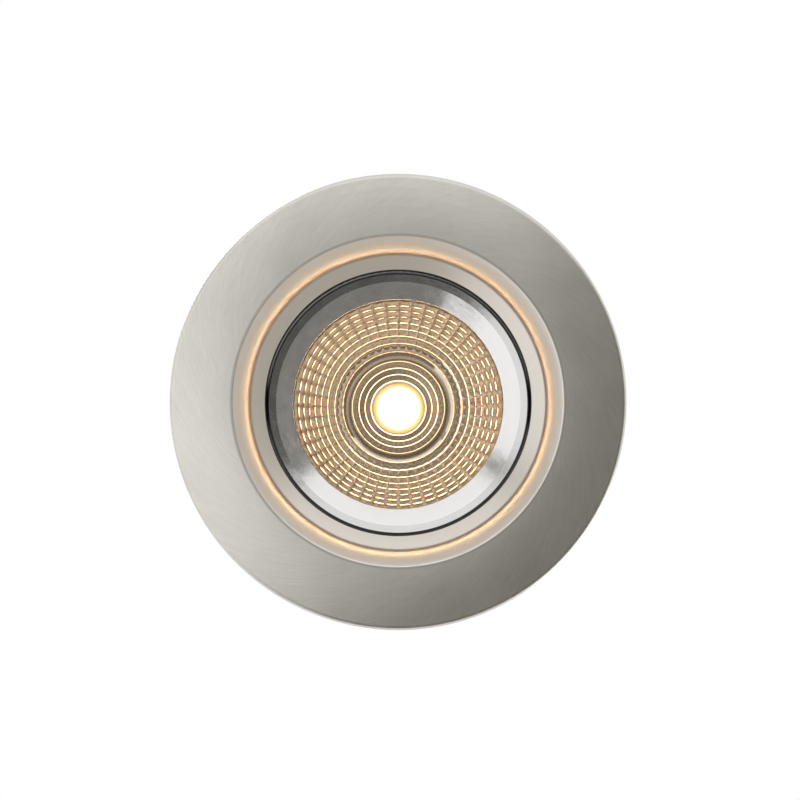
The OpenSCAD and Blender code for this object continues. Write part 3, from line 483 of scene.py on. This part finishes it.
def reflector_mesh(r):
    """The pressed bowl: swollen facets inside, a smooth shell outside and a flat rim"""
    rim_z, foot_z = node_z("reflector")
    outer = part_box("reflector")[1].x / MM
    rings = r.foot_rings + r.bowl_rings
    step = (foot_z - rim_z) / rings
    across, along = 8, 10  # quads over a facet, round and along the bowl
    crest = 0.1  # where along a facet its step is highest
    smooth_rings, blend_rings = 3, 4  # rings that are round, and rings over which facets flatten
    bulge, side_bulge = r.bulge / MM, r.side_bulge / MM
    points, faces, smooth = [], [], []

    for k in range(rings):
        r0, r1 = bowl_radius(k, r), bowl_radius(k + 1, r)
        z0, z1 = foot_z - k * step, foot_z - (k + 1) * step
        flat = min(max((k - smooth_rings) / blend_rings, 0.0), 1.0)
        slant = math.hypot(r1 - r0, step)
        normal_r, normal_z = -step / slant, -(r1 - r0) / slant
        fade = max(1 - (k - r.foot_rings) / r.step_rings, 0.0)
        height, swell = r.bowl_step / MM * fade, bulge
        if k < r.foot_rings:
            height, swell = r.foot_step / MM, 0
        for facet in range(r.facets):
            a0, a1 = 2 * math.pi * facet / r.facets, 2 * math.pi * (facet + 1) / r.facets
            start = len(points)
            for j in range(along + 1):
                v = 0.5 - math.cos(math.pi * j / along) / 2
                radius, z = r0 + (r1 - r0) * v, z0 + (z1 - z0) * v
                rise = height * min(v / crest, (1 - v) / (1 - crest))
                rise += swell * (1 - (2 * v - 1) ** 4)
                for i in range(across + 1):
                    u = 0.5 - math.cos(math.pi * i / across) / 2
                    a = a0 + (a1 - a0) * u
                    chord = math.cos((a1 - a0) / 2) / math.cos(a - (a0 + a1) / 2)
                    round_r = radius * (1 - flat + flat * chord)
                    up = rise * (1 - flat * side_bulge / bulge * (2 * u - 1) ** 4)
                    rr = round_r + normal_r * up
                    points.append((rr * math.cos(a), rr * math.sin(a), z + normal_z * up))
            for j in range(along):
                for i in range(across):
                    p = start + j * (across + 1) + i
                    faces.append((p, p + across + 1, p + across + 2, p + 1))
                    smooth.append(True)

    # Rim and outside, in rings that go from the bowl's front edge round to the foot
    shell = r.shell / MM
    rim_t = 1.0  # thickness of the rim in millimetres
    profile = [(bowl_radius(rings, r), rim_z), (outer, rim_z), (outer, rim_z + rim_t),
               (bowl_radius(rings - 0.5, r) + shell, rim_z + rim_t)]
    profile += [(bowl_radius(k, r) + shell, foot_z - k * step) for k in range(rings - 1, -1, -1)]
    profile += [(bowl_radius(0, r), foot_z)]
    segments = r.facets * 4
    rows = []
    for radius, z in profile:
        rows.append(len(points))
        for i in range(segments):
            a = 2 * math.pi * i / segments
            points.append((radius * math.cos(a), radius * math.sin(a), z))
    for top, bottom in zip(rows, rows[1:]):
        for i in range(segments):
            n = (i + 1) % segments
            faces.append((top + i, top + n, bottom + n, bottom + i))
            smooth.append(False)
    mesh = bpy.data.meshes.new("reflector_bowl")
    mesh.from_pydata([tuple(c * MM for c in p) for p in points], [], faces)
    mesh.polygons.foreach_set("use_smooth", smooth)
    mesh.update()
    return mesh


# Operators

class SPOTLIGHT_OT_trim(bpy.types.Operator):
    """Brushes the trim ring"""
    bl_idname = "spotlight.trim"
    bl_label = "Trim ring"

    def execute(self, context):
        finishes = context.scene.spotlight_finishes
        dress(brushed_nickel(finishes.nickel), "trim_ring")
        return {"FINISHED"}


class SPOTLIGHT_OT_bezel(bpy.types.Operator):
    """Polishes the bezel ring"""
    bl_idname = "spotlight.bezel"
    bl_label = "Bezel ring"

    def execute(self, context):
        finishes = context.scene.spotlight_finishes
        dress(polished_aluminium(finishes.aluminium), "bezel_ring")
        return {"FINISHED"}


class SPOTLIGHT_OT_reflector(bpy.types.Operator):
    """Presses the faceted reflector"""
    bl_idname = "spotlight.reflector"
    bl_label = "Reflector"

    def execute(self, context):
        scene = context.scene
        mesh = reflector_mesh(scene.spotlight_reflector)
        bowl = bpy.data.objects.new("faceted_reflector", mesh)
        scene.collection.objects.link(bowl)
        mesh.materials.append(champagne_mirror(scene.spotlight_finishes.champagne).material)
        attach(bowl, "head")
        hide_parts("reflector")
        return {"FINISHED"}


class SPOTLIGHT_OT_glass(bpy.types.Operator):
    """Clears the lens and its seal"""
    bl_idname = "spotlight.glass"
    bl_label = "Lens and seal"

    def execute(self, context):
        dress(clear_glass(), "lens")
        dress(silicone("clear_silicone", (0.70, 0.70, 0.68), (0.80, 0.80, 0.78)), "lens_seal")
        return {"FINISHED"}


class SPOTLIGHT_OT_engine(bpy.types.Operator):
    """Lights the light engine"""
    bl_idname = "spotlight.engine"
    bl_label = "Light engine"

    def execute(self, context):
        finishes = context.scene.spotlight_finishes
        strength = context.scene.spotlight_reflector.glow
        dress(glowing_phosphor(finishes.glow, strength), "led_phosphor")
        dress(moulded("white_plastic", (0.80, 0.79, 0.76)), "led_holder")
        dress(moulded("white_coating", (0.82, 0.82, 0.79), 0.3, 12.0), "led_board")
        dress(silicone("thermal_silicone", (0.40, 0.43, 0.48), (0.50, 0.53, 0.58)), "thermal_pad")
        dress(moulded("red_insulation", (0.52, 0.03, 0.02), 0.35), "lead_red")
        dress(moulded("black_insulation", (0.025, 0.025, 0.025), 0.35), "lead_black")
        return {"FINISHED"}


class SPOTLIGHT_OT_castings(bpy.types.Operator):
    """Blasts the heat sink"""
    bl_idname = "spotlight.castings"
    bl_label = "Heat sink"

    def execute(self, context):
        finishes = context.scene.spotlight_finishes
        dress(blasted_casting(finishes.casting), "heat_sink")
        return {"FINISHED"}


class SPOTLIGHT_OT_frame(bpy.types.Operator):
    """Plates the gimbal frame, the brackets and the clip arms"""
    bl_idname = "spotlight.frame"
    bl_label = "Frame and clips"

    def execute(self, context):
        finishes = context.scene.spotlight_finishes
        dress(zinc_sheet(finishes.sheet), "gimbal_frame", "clip_bracket_front",
              "clip_bracket_back", "clip_arm_front", "clip_arm_back")
        dress(plated_steel(finishes.wire, "spring_wire"), "clip_spring_front",
              "clip_spring_back", "clip_spring_leg_front", "clip_spring_leg_back")
        dress(moulded("nylon", finishes.nylon), "pivot_washers")
        return {"FINISHED"}


class SPOTLIGHT_OT_fasteners(bpy.types.Operator):
    """Plates screws and pins"""
    bl_idname = "spotlight.fasteners"
    bl_label = "Screws and pins"

    def execute(self, context):
        finishes = context.scene.spotlight_finishes
        dress(plated_steel(finishes.steel), "frame_screws", "bracket_screws", "clip_pin_front",
              "clip_pin_back", "pivot_screws", "holder_screws", "bezel_screws", "cap_screws")
        return {"FINISHED"}


class SPOTLIGHT_OT_rubber(bpy.types.Operator):
    """Colours gaskets and clip pads"""
    bl_idname = "spotlight.rubber"
    bl_label = "Gaskets and pads"

    def execute(self, context):
        finishes = context.scene.spotlight_finishes
        dress(black_rubber(finishes.rubber), "ceiling_gasket", "cap_seal",
              "clip_pad_front", "clip_pad_back", "gland_insert")
        return {"FINISHED"}


class SPOTLIGHT_OT_wiring(bpy.types.Operator):
    """Finishes the wiring cap, the terminals and the cable gland"""
    bl_idname = "spotlight.wiring"
    bl_label = "Wiring"

    def execute(self, context):
        finishes = context.scene.spotlight_finishes
        dress(moulded("black_plastic", (0.045, 0.047, 0.05), 0.45, 9.0), "wiring_cap")
        dress(moulded("cream_plastic", (0.78, 0.74, 0.62)), "terminal_block")
        dress(plated_steel(finishes.brass, "terminal_brass"), "terminal_screws")
        dress(plated_steel(finishes.plated, "plated_brass"), "gland_body", "gland_locknut",
              "gland_nut")
        return {"FINISHED"}


def surface_object(scene, name, points, faces):
    """A sheet of the studio"""
    mesh = bpy.data.meshes.new(name)
    mesh.from_pydata(points, [], faces)
    made = bpy.data.objects.new(name, mesh)
    scene.collection.objects.link(made)
    return made


class SPOTLIGHT_OT_studio(bpy.types.Operator):
    """Sets the camera, the floor and the light"""
    bl_idname = "spotlight.studio"
    bl_label = "Studio"

    def execute(self, context):
        scene = context.scene
        s = scene.spotlight_studio
        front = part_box("trim_ring")[0].z
        camera = bpy.data.objects.new("camera", bpy.data.cameras.new("camera"))
        scene.collection.objects.link(camera)
        camera.data.sensor_width = SENSOR
        camera.data.lens = SENSOR * s.camera_gap / s.frame_width
        camera.data.clip_start, camera.data.clip_end = 0.01, 50
        aim = Vector((s.aim_side, s.aim_down, front))
        drop = math.sqrt(s.camera_gap ** 2 - s.camera_down ** 2 - s.camera_side ** 2)
        eye = Vector((s.camera_side, s.camera_down, front - drop))
        look = (aim - eye).normalized()
        right = look.cross(Vector((0, -1, 0))).normalized()
        up = right.cross(look)
        camera.matrix_world = Matrix.Translation(eye) @ Matrix(
            (right, up, -look)).transposed().to_4x4()
        scene.camera = camera
        scene.view_settings.view_transform = "Standard"
        self.background(scene, s)
        self.floor(scene, s)
        self.cards(scene, s)
        self.lamp(scene, "soft_left", (-0.50, -0.36, -0.42), 0.5, 2.2, False)
        self.lamp(scene, "soft_top", (-0.9, -0.9, 1.3), 0.9, 9)
        self.lamp(scene, "soft_back", (1.1, 0.8, 0.9), 0.9, 5)
        return {"FINISHED"}

    def background(self, scene, s):
        world = bpy.data.worlds.new("studio")
        scene.world = world
        world.use_nodes = True
        g = Graph(world.node_tree)
        soft, white = (
            g.node("ShaderNodeBackground", values={"Color": (1.0, 1.0, 1.0), "Strength": level})
            for level in (s.ambient, 1.0))
        both = g.node("ShaderNodeMixShader", values={0: g.seen_directly(), 1: soft, 2: white})
        output = g.tree.nodes.new("ShaderNodeOutputWorld")
        g.plug(output.inputs["Surface"], both)

    def floor(self, scene, s):
        half, level = 6.0, -s.floor_drop
        corners = [(-half, -half), (half, -half), (half, half), (-half, half)]
        plane = surface_object(scene, "floor", [(*c, level) for c in corners], [(0, 1, 2, 3)])
        f = Finish("pale_floor", Roughness=0.9, Emission_Strength=0.5)
        cloud = f.grain(f.place()[0], 0.002, 2.0)
        f.put(
            Base_Color=f.blend(cloud, (0.86, 0.86, 0.86), (0.9, 0.9, 0.9)),
            Emission_Color=f.blend(f.seen_directly(), (0.0, 0.0, 0.0), (1.0, 1.0, 1.0)),
        )
        plane.data.materials.append(f.material)

    def cards(self, scene, s):
        """Grey card, dark flags and seam, seen by mirrors alone"""
        self.card(scene, "white_half", (0.0, -0.09), (0.034, -0.09), 45, 90, s.white_half)
        self.card(scene, "dark_half", (0.0, -0.09), (0.034, -0.09), 225, 90, s.dark_half)
        self.card(scene, "veil", (0.045, -0.33), (0.17, -0.33), 248, 40, s.veil)
        self.card(scene, "near_flag", (0.0, -0.33), (0.30, -0.33), 32, 90, s.near_flag)
        self.card(scene, "far_flag", (0.30, -0.33), (0.62, -0.33), 49, 86, s.far_flag)
        self.card(scene, "lower_card", (0.55, -0.33), (0.55, -0.18), 38, 78, s.lower_card)
        self.card(scene, "upper_card", (0.55, -0.18), (0.55, -0.012), 38, 78, s.upper_card)
        self.card(scene, "seam", (0.54, -0.50), (0.54, -0.012), 215, 4.7, s.seam)

    def card(self, scene, name, first, last, middle, spread, level):
        """A sheet from one radius and level to another, spread to both sides of an angle"""
        points, faces = [], []
        for i in range(CARD_STEPS + 1):
            a = math.radians(middle + spread * (2 * i / CARD_STEPS - 1))
            points += [(r * math.cos(a), r * math.sin(a), z) for r, z in (first, last)]
            if i:
                p = 2 * i
                faces.append((p - 2, p, p + 1, p - 1))
        card = surface_object(scene, name, points, faces)
        f = Finish(name, Roughness=1.0, Specular_IOR_Level=0.0, Base_Color=(0.0, 0.0, 0.0),
                   Emission_Color=tuple(level * t for t in CARD_TINT), Emission_Strength=1.0)
        card.data.materials.append(f.material)
        card.visible_camera = False
        card.visible_diffuse = False
        card.visible_shadow = False

    def lamp(self, scene, name, at, size, power, glossy=True):
        data = bpy.data.lights.new(name, "AREA")
        data.shape, data.size, data.energy = "DISK", size, power
        made = bpy.data.objects.new(name, data)
        scene.collection.objects.link(made)
        made.location = at
        made.rotation_mode = "QUATERNION"
        made.rotation_quaternion = (-Vector(at)).to_track_quat("-Z", "Y")
        made.visible_camera = False
        made.visible_glossy = glossy


STEPS = (
    SPOTLIGHT_OT_studio, SPOTLIGHT_OT_trim, SPOTLIGHT_OT_bezel, SPOTLIGHT_OT_reflector,
    SPOTLIGHT_OT_glass, SPOTLIGHT_OT_engine, SPOTLIGHT_OT_castings, SPOTLIGHT_OT_frame,
    SPOTLIGHT_OT_fasteners, SPOTLIGHT_OT_rubber, SPOTLIGHT_OT_wiring,
)
GROUPS = {
    "spotlight_reflector": SpotlightReflector,
    "spotlight_finishes": SpotlightFinishes,
    "spotlight_studio": SpotlightStudio,
}


class SPOTLIGHT_PT_panel(bpy.types.Panel):
    """Settings and steps of the spotlight"""
    bl_label = "Recessed spotlight"
    bl_space_type = "VIEW_3D"
    bl_region_type = "UI"
    bl_category = "Spotlight"

    def draw(self, context):
        for name, group in GROUPS.items():
            box = self.layout.box()
            for setting in group.__annotations__:
                box.prop(getattr(context.scene, name), setting)
        for step in STEPS:
            self.layout.operator(step.bl_idname)


def register():
    for group in GROUPS.values():
        bpy.utils.register_class(group)
    for name, group in GROUPS.items():
        setattr(bpy.types.Scene, name, bpy.props.PointerProperty(type=group))
    for kind in (*STEPS, SPOTLIGHT_PT_panel):
        bpy.utils.register_class(kind)


def unregister():
    for kind in (SPOTLIGHT_PT_panel, *reversed(STEPS)):
        bpy.utils.unregister_class(kind)
    for name in GROUPS:
        delattr(bpy.types.Scene, name)
    for group in GROUPS.values():
        bpy.utils.unregister_class(group)


def main():
    register()
    for step in STEPS:
        group, name = step.bl_idname.split(".")
        getattr(getattr(bpy.ops, group), name)()


if __name__ == "__main__":
    main()
